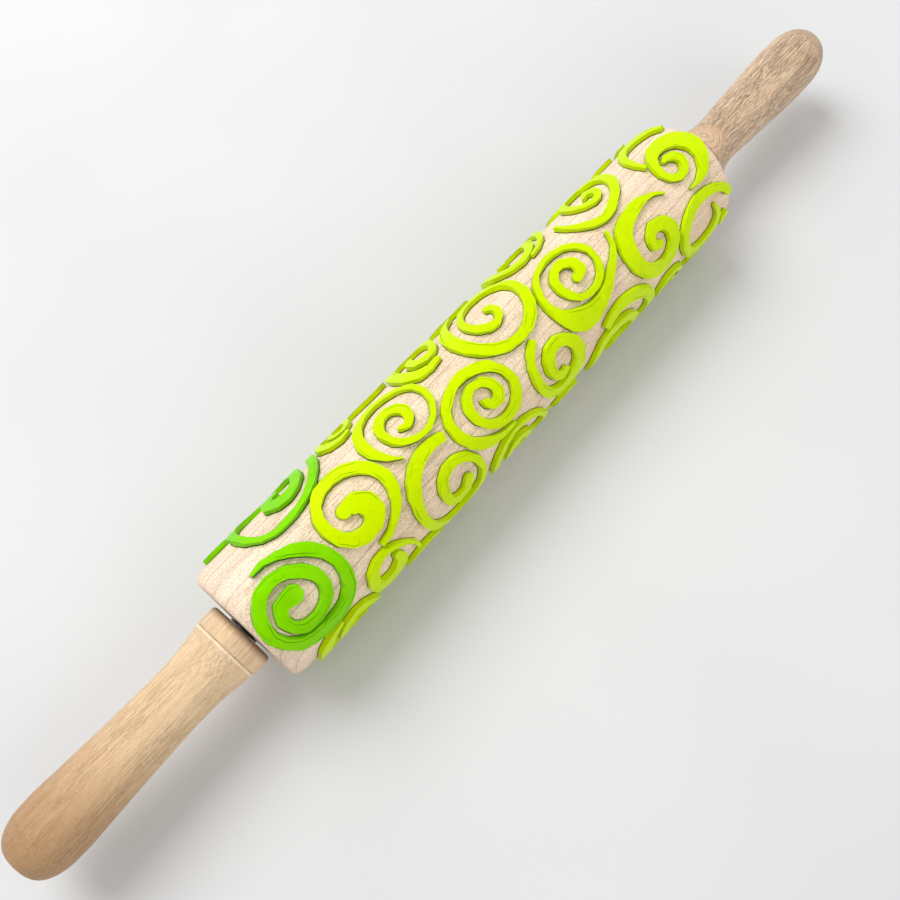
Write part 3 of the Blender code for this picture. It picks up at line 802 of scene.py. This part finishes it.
def near_handle_wood():
    """Maple, darker towards the butt in tone and in painted shade, with a pale ridge where the
    grip starts that is partly a painted highlight, and painted shade on the collar face.
    """
    graph = wood_graph("near_maple", NEAR_MAPLE)
    # Darker towards the butt: partly the wood's own deeper tone, partly painted shade
    butt = graph.rise(graph.x, BUTT_DARK_FROM, BUTT_DARKEST)
    graph.paint(graph.times(butt, BUTT_STRENGTH), BUTT_TONE)
    # The pale band on the ridge where the grip starts: partly paler wood, partly a painted
    # highlight
    ridge_x = -COLLAR_FACE - COLLAR_LENGTH - GRIP_RIDGE_HALF_WIDTH * GRIP_RIDGE_BEHIND_SHARE
    beside = graph.math("ABSOLUTE", graph.math("SUBTRACT", graph.x, ridge_x))
    ridge = graph.rise(
        beside, GRIP_RIDGE_HALF_WIDTH, GRIP_RIDGE_HALF_WIDTH * GRIP_RIDGE_FULL_SHARE
    )
    graph.paint(graph.times(ridge, GRIP_RIDGE_STRENGTH), GRIP_RIDGE_TONE)
    # Painted shade on the collar's face, in the gap at the barrel
    face = graph.rise(graph.x, -COLLAR_FACE - FACE_SHADE_DEPTH, -COLLAR_FACE)
    graph.paint(graph.times(face, FACE_SHADE_STRENGTH), FACE_SHADE_TONE)
    return graph.material


def far_handle_wood():
    """Redder beech with coarse fibres and one knot."""
    turn = math.radians(SHEET_TILT_DEG + KNOT_DEG)
    knot = Vector((KNOT_ALONG, -KNOT_OUT * math.sin(turn), KNOT_OUT * math.cos(turn)))
    return wood_graph("far_beech", FAR_BEECH, (knot,)).material


def foam_material(name, foam):
    """Craft foam: even colour with rubbed patches, painted shade down its cut walls, a painted
    shadow line at its foot, and fine cells.

    The mesh holds how far up the cut each point is, from 0 in the painted shadow line to 1 on
    the top.
    """
    graph = Graph(name)
    patches = graph.ramp(
        graph.noise(graph.stretched(RUBBED_WAVES, RUBBED_WAVES), detail=4.0, roughness=0.6),
        RUBBED_RAMP,
    )
    specks = graph.ramp(
        graph.noise(graph.stretched(SPECK_WAVES, SPECK_WAVES), detail=3.0, roughness=0.7),
        SPECK_RAMP,
    )
    graph.base(graph.times(patches, RUBBED_STRENGTH), foam.plain, foam.rubbed)
    graph.paint(graph.times(specks, SPECK_STRENGTH), foam.wall)
    up = graph.node("ShaderNodeAttribute", attribute_name="cut").outputs["Fac"]
    # Painted shade down the cut walls, at their top edge and in the scores
    graph.paint(graph.ramp(up, WALL_SHADE_RAMP), foam.wall)
    # The painted shadow line at the foot
    graph.paint(graph.ramp(up, SHADOW_LINE_RAMP), SHADOW_LINE_TONE)
    graph.set(
        Roughness=FOAM_ROUGHNESS, Specular_IOR_Level=FOAM_SPECULAR,
        Specular_Tint=tone(*foam.gleam),
    )
    cells = graph.node("ShaderNodeTexVoronoi")
    graph.feed(cells.inputs["Vector"], graph.coords)
    graph.feed(cells.inputs["Scale"], CELL_WAVES)
    skin = graph.noise(graph.coords, detail=3.0, roughness=0.6, scale=SKIN_WAVES)
    graph.bump(graph.add(graph.times(cells.outputs["Distance"], CELL_HEIGHT), skin), FOAM_RELIEF)
    return graph.material


def steel_material():
    """Steel with the fine lines of drawing along it."""
    graph = Graph("drawn_steel")
    lines = graph.noise(graph.stretched(*STEEL_WAVES), detail=3.0, roughness=0.6)
    graph.set(Base_Color=graph.ramp(lines, STEEL_RAMP), Metallic=1.0)
    graph.set(Roughness=graph.ramp(lines, STEEL_ROUGHNESS_RAMP))
    graph.bump(lines, STEEL_RELIEF)
    return graph.material


def nylon_material():
    """Nylon with a fine grain, dark partly in its own colour and partly as painted shade for the
    gap at the collar.
    """
    graph = Graph("bushing_nylon")
    clouds = graph.noise(graph.coords, detail=3.0, scale=NYLON_WAVES)
    graph.set(Base_Color=graph.ramp(clouds, NYLON_RAMP), Roughness=NYLON_ROUGHNESS)
    graph.bump(graph.noise(graph.coords, scale=NYLON_GRAIN_WAVES), NYLON_RELIEF)
    return graph.material


def linked(name, data):
    """A new object with this data, in the scene."""
    obj = bpy.data.objects.new(name, data)
    bpy.context.scene.collection.objects.link(obj)
    return obj


def mesh_of(name, bm):
    mesh = bpy.data.meshes.new(name)
    bm.to_mesh(mesh)
    bm.free()
    return mesh


def new_object(name, bm, surface, body, nodes, sharp_deg=SHARP_DEG):
    bmesh.ops.recalc_face_normals(bm, faces=bm.faces)
    mesh = mesh_of(name, bm)
    mesh.shade_smooth()
    mesh.set_sharp_from_angle(angle=math.radians(sharp_deg))
    mesh.materials.append(surface)
    obj = linked(name, mesh)
    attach(obj, body)
    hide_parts(*nodes)
    return obj


def turned(name, outline, sides, unevenness, surface, body, node):
    """A closed outline of (x, radius) turned round X, as uneven as a hand-sanded turning."""
    bm = bmesh.new()
    points = [bm.verts.new((x, 0, radius)) for x, radius in outline]
    edges = [bm.edges.new(pair) for pair in zip(points, points[1:] + points[:1])]
    bmesh.ops.spin(
        bm, geom=points + edges, axis=(1, 0, 0), cent=(0, 0, 0),
        angle=math.tau, steps=sides, use_merge=True, use_duplicate=False,
    )
    along, across = TURNING_WAVES
    for vert in bm.verts:
        place = vert.co
        radius = math.hypot(place.y, place.z)
        if radius > TRUE_RADIUS:
            push = noise.noise(Vector((place.x * along, place.y * across, place.z * across)))
            share = 1.0 - unevenness * (0.5 + 0.5 * push) / radius
            vert.co = (place.x, place.y * share, place.z * share)
    new_object(name, bm, surface, body, (node,))


def arc(steps):
    """The angles of a quarter turn, in even steps."""
    return [math.pi / 2 * step / steps for step in range(steps + 1)]


def mirrored(outline):
    return [(-x, radius) for x, radius in outline]


def shoulder_drop(from_end):
    """How far the barrel's surface is below its full radius, this far from its end."""
    into = clamp(1.0 - from_end / SHOULDER_LENGTH)
    return SHOULDER_DROP * (1.0 - math.sqrt(1.0 - into**2))


def make_barrel(surface):
    half = BARREL_LENGTH / 2
    outer = [
        (half * step / HALF_BARREL_STEPS, BARREL_RADIUS)
        for step in range(1, HALF_BARREL_STEPS - 1)
    ]
    for turn in arc(SHOULDER_STEPS):
        x = half - SHOULDER_LENGTH * (1.0 - math.sin(turn))
        outer.append((x, BARREL_RADIUS - SHOULDER_DROP * (1.0 - math.cos(turn))))
    rim = outer[-1][1]
    for share in END_FACE_SHARES:
        outer.append((half, BORE_RADIUS + (rim - BORE_RADIUS) * share))
    outer += [(half, BORE_RADIUS + BORE_CHAMFER), (half - BORE_CHAMFER, BORE_RADIUS)]
    outline = outer + mirrored(reversed(outer))
    turned(
        "barrel_turned", outline, BARREL_SIDES, BARREL_UNEVENNESS, surface,
        "barrel", "barrel",
    )


def bead_point(shares, depth):
    along, down = shares
    return COLLAR_LENGTH + BEAD_WIDTH * along, COLLAR_RADIUS - depth * down


def collar_outline():
    """The collar, from the hole in its face to the notch and the bead behind it."""
    outline = [(0.0, AXLE_HOLE_RADIUS), (0.0, (AXLE_HOLE_RADIUS + COLLAR_RADIUS) / 2)]
    for turn in arc(COLLAR_STEPS):
        outline.append((
            COLLAR_ROUND * (1.0 - math.cos(turn)),
            COLLAR_RADIUS - COLLAR_ROUND * (1.0 - math.sin(turn)),
        ))
    notch = COLLAR_LENGTH - BEAD_WIDTH
    for share in COLLAR_SHARES:
        outline.append((COLLAR_ROUND + (notch - COLLAR_ROUND) * share, COLLAR_RADIUS))
    for turn in arc(NOTCH_STEPS)[1:]:
        outline.append((
            notch + BEAD_WIDTH * NOTCH_WIDTH_SHARE * math.sin(turn),
            COLLAR_RADIUS - NOTCH_DEPTH * (1.0 - math.cos(turn)),
        ))
    return outline + [bead_point(BEAD_START, NOTCH_DEPTH), bead_point(BEAD_MIDDLE, BEAD_DEPTH)]


def grip_outline(grip):
    """The waist and the swell, as one smooth curve from the bead to the butt."""
    stations = [bead_point(BEAD_END, BEAD_DEPTH)]
    stations += [(HANDLE_LENGTH * along, grip.swell * thick) for along, thick in grip.outline]
    outline = []
    for (x0, r0), (x1, r1), (x2, r2), (x3, r3) in zip(
        [stations[0]] + stations, stations, stations[1:], stations[2:] + [stations[-1]]
    ):
        span = x2 - x1
        in_slope = (r2 - r0) / (x2 - x0) * span
        out_slope = (r3 - r1) / (x3 - x1) * span
        for step in range(1, GRIP_STEPS + 1):
            t = step / GRIP_STEPS
            outline.append((x1 + span * t, hermite(r1, r2, in_slope, out_slope, t)))
    return outline


def butt_outline(grip, grip_end, radius):
    """The rounded butt with its flat, then the closed end of the axle's hole."""
    start = max(HANDLE_LENGTH - grip.butt_length, grip_end)
    outline = []
    for turn in arc(BUTT_STEPS)[1:]:
        outline.append((
            start + (HANDLE_LENGTH - start) * math.sin(turn),
            grip.butt_flat + (radius - grip.butt_flat) * math.cos(turn),
        ))
    outline += [(HANDLE_LENGTH, 0.0), (AXLE_HOLE_LENGTH, 0.0)]
    return outline + [(AXLE_HOLE_LENGTH, AXLE_HOLE_RADIUS)]


def make_handle(name, side, grip, surface):
    """A grip with a collar, a fine groove behind it, a waist, a swell and a rounded butt."""
    outline = collar_outline() + grip_outline(grip)
    outline += butt_outline(grip, *outline[-1])
    placed = [(COLLAR_FACE + x, radius) for x, radius in outline]
    if side < 0:
        placed = mirrored(placed)
    turned(
        f"{name}_turned", placed, HANDLE_SIDES, HANDLE_UNEVENNESS, surface,
        "handles", name,
    )


def curve_value(shares, along):
    """Smooth value at a share of the way along a row of evenly spaced shares."""
    place = along * (len(shares) - 1)
    first = min(int(place), len(shares) - 2)
    here, there = shares[first], shares[first + 1]
    before = shares[max(first - 1, 0)]
    after = shares[min(first + 2, len(shares) - 1)]
    return hermite(here, there, (there - before) / 2, (after - here) / 2, place - first)


def spine_point(shape, turned_deg, scale, along):
    start, sweep, distance_shares, _ = SWIRL_SHARES[shape]
    distance = curve_value(distance_shares, along) * scale
    heading = math.radians(start + sweep * along + turned_deg)
    return Vector((distance * math.cos(heading), distance * math.sin(heading)))


def spine_steps(shape, scale):
    """Shares along the spine, close together where it curls tightly."""
    _, sweep, distance_shares, _ = SWIRL_SHARES[shape]
    along, places = 0.0, [0.0]
    while along < 1.0:
        distance = max(curve_value(distance_shares, along) * scale, TURN_TOLERANCE_SHARE)
        curl = 2 * math.acos(1 - min(TURN_TOLERANCE_SHARE / distance, 1.0))
        longest = LONGEST_STEP_SHARE / distance
        along += math.degrees(min(curl, longest)) / abs(sweep)
        places.append(along)
    return [place / places[-1] for place in places]


def spine_edges(shape, turned_deg, scale, along):
    """The strip's left and right edge at a share of the way along, in modules."""
    centre = spine_point(shape, turned_deg, scale, along)
    ahead = spine_point(shape, turned_deg, scale, min(along + LOOK_SHARE, 1.0))
    behind = spine_point(shape, turned_deg, scale, max(along - LOOK_SHARE, 0.0))
    forward = (ahead - behind).normalized()
    side = Vector((-forward.y, forward.x))
    half = curve_value(SWIRL_SHARES[shape][3], along) * scale / 2
    return centre - side * half, centre + side * half


def facet_edges(shape, turned_deg, scale):
    """The strip's edges at every fine ring, nearly straight from one coarse step to the next."""
    coarse = spine_steps(shape, scale)
    pairs = [spine_edges(shape, turned_deg, scale, along) for along in coarse]
    fine = []
    for start, end, first, second in zip(coarse, coarse[1:], pairs, pairs[1:]):
        reach = max((b - a).length for a, b in zip(first, second)) * MODULE
        steps = max(2, math.ceil(reach / RING_STEP))
        for step in range(steps):
            t = step / steps
            smooth = spine_edges(shape, turned_deg, scale, start + (end - start) * t)
            fine.append([
                a.lerp(b, t) * FACET_SHARE + curved * (1 - FACET_SHARE)
                for a, b, curved in zip(first, second, smooth)
            ])
    return fine + [pairs[-1]]


def on_sheet(station, girth_deg):
    """The flat sheet's place, in metres, of a station in modules and an angle round the barrel."""
    return Vector((station * MODULE, girth_deg / 360 * GIRTH_MODULES * MODULE))


def on_barrel(s, girth, lift, drop_share):
    """The place over the barrel at s metres from the near end and girth metres round it."""
    x = s - BARREL_LENGTH / 2
    drop = shoulder_drop(max(0.0, min(s, BARREL_LENGTH - s))) * drop_share
    radius = BARREL_RADIUS - drop + lift
    turn = math.tau * girth / (MODULE * GIRTH_MODULES) + math.radians(SHEET_TILT_DEG)
    return Vector((x, -radius * math.sin(turn), radius * math.cos(turn)))


def cut_wall(place, outward, width, seed, side):
    """One wall of a strip: its wobble, how far in its foot and its head are, and the width of the
    painted shadow line at its foot.
    """
    spot = Vector((
        place.x * WALL_WAVES, place.y * WALL_WAVES,
        seed * WALL_SEED_STEP + side * WALL_SIDE_STEP,
    ))
    lean = LEAN_MEAN_SHARE - LEAN_SIDE_SHARE * outward.y
    lean += LEAN_CHANCE_SHARE * noise.noise(spot * LEAN_PACE + LEAN_SHIFT)
    lean = clamp(lean) * (LEAN_MOST + UNDERCUT) - UNDERCUT
    lean = clamp(lean, -width * UNDERCUT_WIDTH_SHARE, width * LEAN_WIDTH_SHARE)
    # The painted shadow line is wider on the sides that face away from the key light
    shadow_line = SHADOW_LINE_MEAN_SHARE + SHADOW_LINE_SIDE_SHARE * outward.y
    shadow_line += SHADOW_LINE_CHANCE_SHARE * noise.noise(spot * SHADOW_LINE_PACE + SHADOW_LINE_SHIFT)
    return SimpleNamespace(
        wobble=noise.noise(spot * WOBBLE_PACE) * WOBBLE,
        foot=max(0.0, -lean),
        head=max(0.0, lean),
        shadow_line=SHADOW_LINE_LEAST + (SHADOW_LINE_MOST - SHADOW_LINE_LEAST) * clamp(shadow_line),
    )


def second_cut(place, width, room, top, seed, side):
    """The score beside one edge: how far in, half its width, its height, and its cut value,
    lowered to paint shade in it.
    """
    spot = Vector((
        place.x * SCORE_WAVES, place.y * SCORE_WAVES,
        seed * SCORE_SEED_STEP + side * SCORE_SIDE_STEP,
    ))
    shown = clamp(noise.noise(spot) * SCORE_GAIN - SCORE_LOSS)
    shown *= clamp((width - SCORED_WIDTH) / SCORE_INSET)
    inset = SCORE_INSET + SCORE_DRIFT * noise.noise(spot * SCORE_DRIFT_PACE)
    inset = min(inset, room * SCORE_INSET_SHARE)
    return SimpleNamespace(
        inset=inset,
        half=min(SCORE_HALF_WIDTH, inset * SCORE_HALF_WIDTH_SHARE),
        lift=top - SCORE_DEPTH * shown,
        up=1.0 - SCORE_PAINTED_SHADE * shown,
    )


def half_profile(wall, score, top, rounding):
    """A strip's cross-section from one edge inwards: how far in, how high and its cut value."""
    inner = wall.head + rounding
    return [
        # The first two points make the thin dark skirt of the painted shadow line
        (wall.foot - wall.shadow_line, -SUNK, 0.0),
        (wall.foot - wall.shadow_line * SHADOW_LINE_RISE_SHARE, SHADOW_LINE_LIFT, 0.0),
        (wall.foot, SHADOW_LINE_LIFT, CUT_FOOT),
        (between(wall.foot, wall.head, CUT_WALL), top * CUT_WALL, CUT_WALL),
        (between(wall.foot, wall.head, WALL_END_SHARE), top - rounding, CUT_WALL_END),
        (wall.head + rounding * HALF_ROUND_SHARE, top - rounding * HALF_ROUND_SHARE, CUT_ROUND),
        (inner, top, 1.0),
        (inner + score.inset - score.half, top, 1.0),
        (inner + score.inset, score.lift, score.up),
        (inner + score.inset + score.half, top, 1.0),
    ]


def top_sag(place, seed):
    """How far the foam's top is down at a place on the sheet, by its sag and the nicks in it."""
    spot = Vector((place.x * SAG_WAVES, place.y * SAG_WAVES, seed))
    down = SAG * (1.0 + noise.noise(spot))
    for station, girth_deg, radius in NICKS:
        near = (place - on_sheet(station, girth_deg)).length / radius
        if near < 1.0:
            down += NICK_DEPTH * (1.0 - near**2)
    return down


def make_ring(bm, left, right, seed, at_end, cut_share):
    """One cross-section of a strip: leaning walls, rounded top edges and a slightly wavy top."""
    across = right - left
    left = left + across * cut_share
    across = across * (1.0 - 2.0 * cut_share)
    width = across.length
    unit = across / width if width > 0 else Vector((1.0, 0.0))
    walls = [
        cut_wall(place, outward, width, seed, side)
        for side, (place, outward) in enumerate(((left, -unit), (right, unit)))
    ]
    left = left + unit * walls[0].wobble
    width = width - walls[0].wobble + walls[1].wobble
    top = FOAM_THICKNESS - (EDGE_ROUND if at_end else 0.0)
    rounding = min(EDGE_ROUND, width * EDGE_ROUND_WIDTH_SHARE)
    room = width - sum(wall.head + rounding for wall in walls)
    profile, other_half = (
        half_profile(wall, second_cut(left, width, room, top, seed, side), top, rounding)
        for side, wall in enumerate(walls)
    )
    profile += [(width - inset, lift, up) for inset, lift, up in reversed(other_half)]
    profile += [(width * share, -SUNK, 0.0) for share in UNDERSIDE_SHARES]
    cut = bm.verts.layers.float["cut"]
    ring = []
    for offset, lift, up in profile:
        place = left + unit * offset
        if lift > SHADOW_LINE_LIFT:
            lift -= top_sag(place, seed)
        drop_share = FOAM_DROP_SHARE if lift > SHADOW_LINE_LIFT else 1.0
        ring.append(bm.verts.new(on_barrel(place.x, place.y, lift, drop_share)))
        ring[-1][cut] = up
    return ring


def round_end(bm, left, right, seed):
    """The rings that round a strip's inner end."""
    across = right - left
    backward = Vector((-across.y, across.x)) / 2
    rings = []
    for degrees in ROUND_END_DEGS:
        turn = math.radians(degrees)
        middle = (left + right) / 2 + backward * math.sin(turn)
        half = across / 2 * math.cos(turn)
        rings.append(make_ring(bm, middle - half, middle + half, seed, not rings, 0.0))
    return rings


def make_swirl(name, place, surface, seed):
    """A strip of foam cut by hand along a spiral: nearly straight facets and leaning walls."""
    shape, station, girth_deg, turned_deg, scale, _ = place
    centre = on_sheet(station, girth_deg)
    edges = [
        [centre + edge * MODULE for edge in pair]
        for pair in facet_edges(shape, turned_deg, scale)
    ]
    bm = bmesh.new()
    bm.verts.layers.float.new("cut")
    rings = round_end(bm, *edges[0], seed) if shape in ROUND_ENDED else []
    for number, (left, right) in enumerate(edges, 1):
        at_end = not rings or number == len(edges)
        cut_share = CUT_CORNER_SHARE if at_end else 0.0
        rings.append(make_ring(bm, left, right, seed, at_end, cut_share))
    for ring, following in zip(rings, rings[1:]):
        for i in range(len(ring)):
            j = (i + 1) % len(ring)
            bm.faces.new((ring[i], ring[j], following[j], following[i]))
    bm.faces.new(rings[0])
    bm.faces.new(rings[-1])
    obj = new_object(f"{name}_foam", bm, surface, "barrel", (name,), FOAM_SHARP_DEG)


def make_foam():
    surfaces = {colour: foam_material(f"foam_{colour}", foam) for colour, foam in FOAMS.items()}
    seed = 0
    for row, places in ROW_SHARES.items():
        for number, place in enumerate(places, 1):
            seed += 1
            colour = place[-1]
            make_swirl(
                f"{row}_swirl_{number}", place, surfaces[colour], seed
            )


def dress_inner_parts():
    """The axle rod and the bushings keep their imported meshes."""
    steel = steel_material()
    nylon = nylon_material()
    for name, surface in (
        ("axle_rod", steel), ("near_bushing", nylon), ("far_bushing", nylon),
    ):
        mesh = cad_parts[name].data
        mesh.materials.clear()
        mesh.materials.append(surface)


def make_camera():
    data = bpy.data.cameras.new("photo_camera")
    data.lens = CAMERA_LENS
    data.sensor_width = CAMERA_SENSOR
    data.clip_start = CAMERA_NEAREST
    data.clip_end = CAMERA_FARTHEST
    camera = linked("photo_camera", data)
    camera.location = CAMERA_PLACE
    camera.rotation_euler = [math.radians(degrees) for degrees in CAMERA_TURN_DEG]
    bpy.context.scene.camera = camera


def make_light(name, place, size, power, colour):
    data = bpy.data.lights.new(name, "AREA")
    data.shape = "DISK"
    data.size = size
    data.energy = power
    data.color = colour
    light = linked(name, data)
    light.location = place
    light.rotation_euler = (-Vector(place)).to_track_quat("-Z", "Y").to_euler()


def make_floor(height):
    bm = bmesh.new()
    bmesh.ops.create_grid(bm, x_segments=1, y_segments=1, size=FLOOR_SIZE)
    floor = linked("floor", mesh_of("floor", bm))
    floor.location.z = height
    graph = Graph("pale_floor")
    clouds = graph.noise(graph.coords, scale=FLOOR_WAVES)
    graph.set(
        Base_Color=graph.ramp(clouds, FLOOR_RAMP), Roughness=FLOOR_ROUGHNESS,
        Specular_IOR_Level=FLOOR_SPECULAR,
    )
    floor.data.materials.append(graph.material)


def make_room():
    world = bpy.data.worlds.new("soft_room")
    world.use_nodes = True
    background = world.node_tree.nodes["Background"]
    background.inputs["Color"].default_value = ROOM_COLOUR
    background.inputs["Strength"].default_value = ROOM_STRENGTH
    bpy.context.scene.world = world
    bpy.context.scene.view_settings.view_transform = "Standard"


def main():
    make_camera()
    dress_inner_parts()
    make_barrel(wood_graph("barrel_beech", BARREL_BEECH).material)
    make_handle("near_handle", -1, NEAR_GRIP, near_handle_wood())
    make_handle("far_handle", 1, FAR_GRIP, far_handle_wood())
    make_foam()
    low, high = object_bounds()
    make_floor(low.z - FLOOR_GAP)
    make_room()
    for light in LIGHTS:
        make_light(*light)


main()
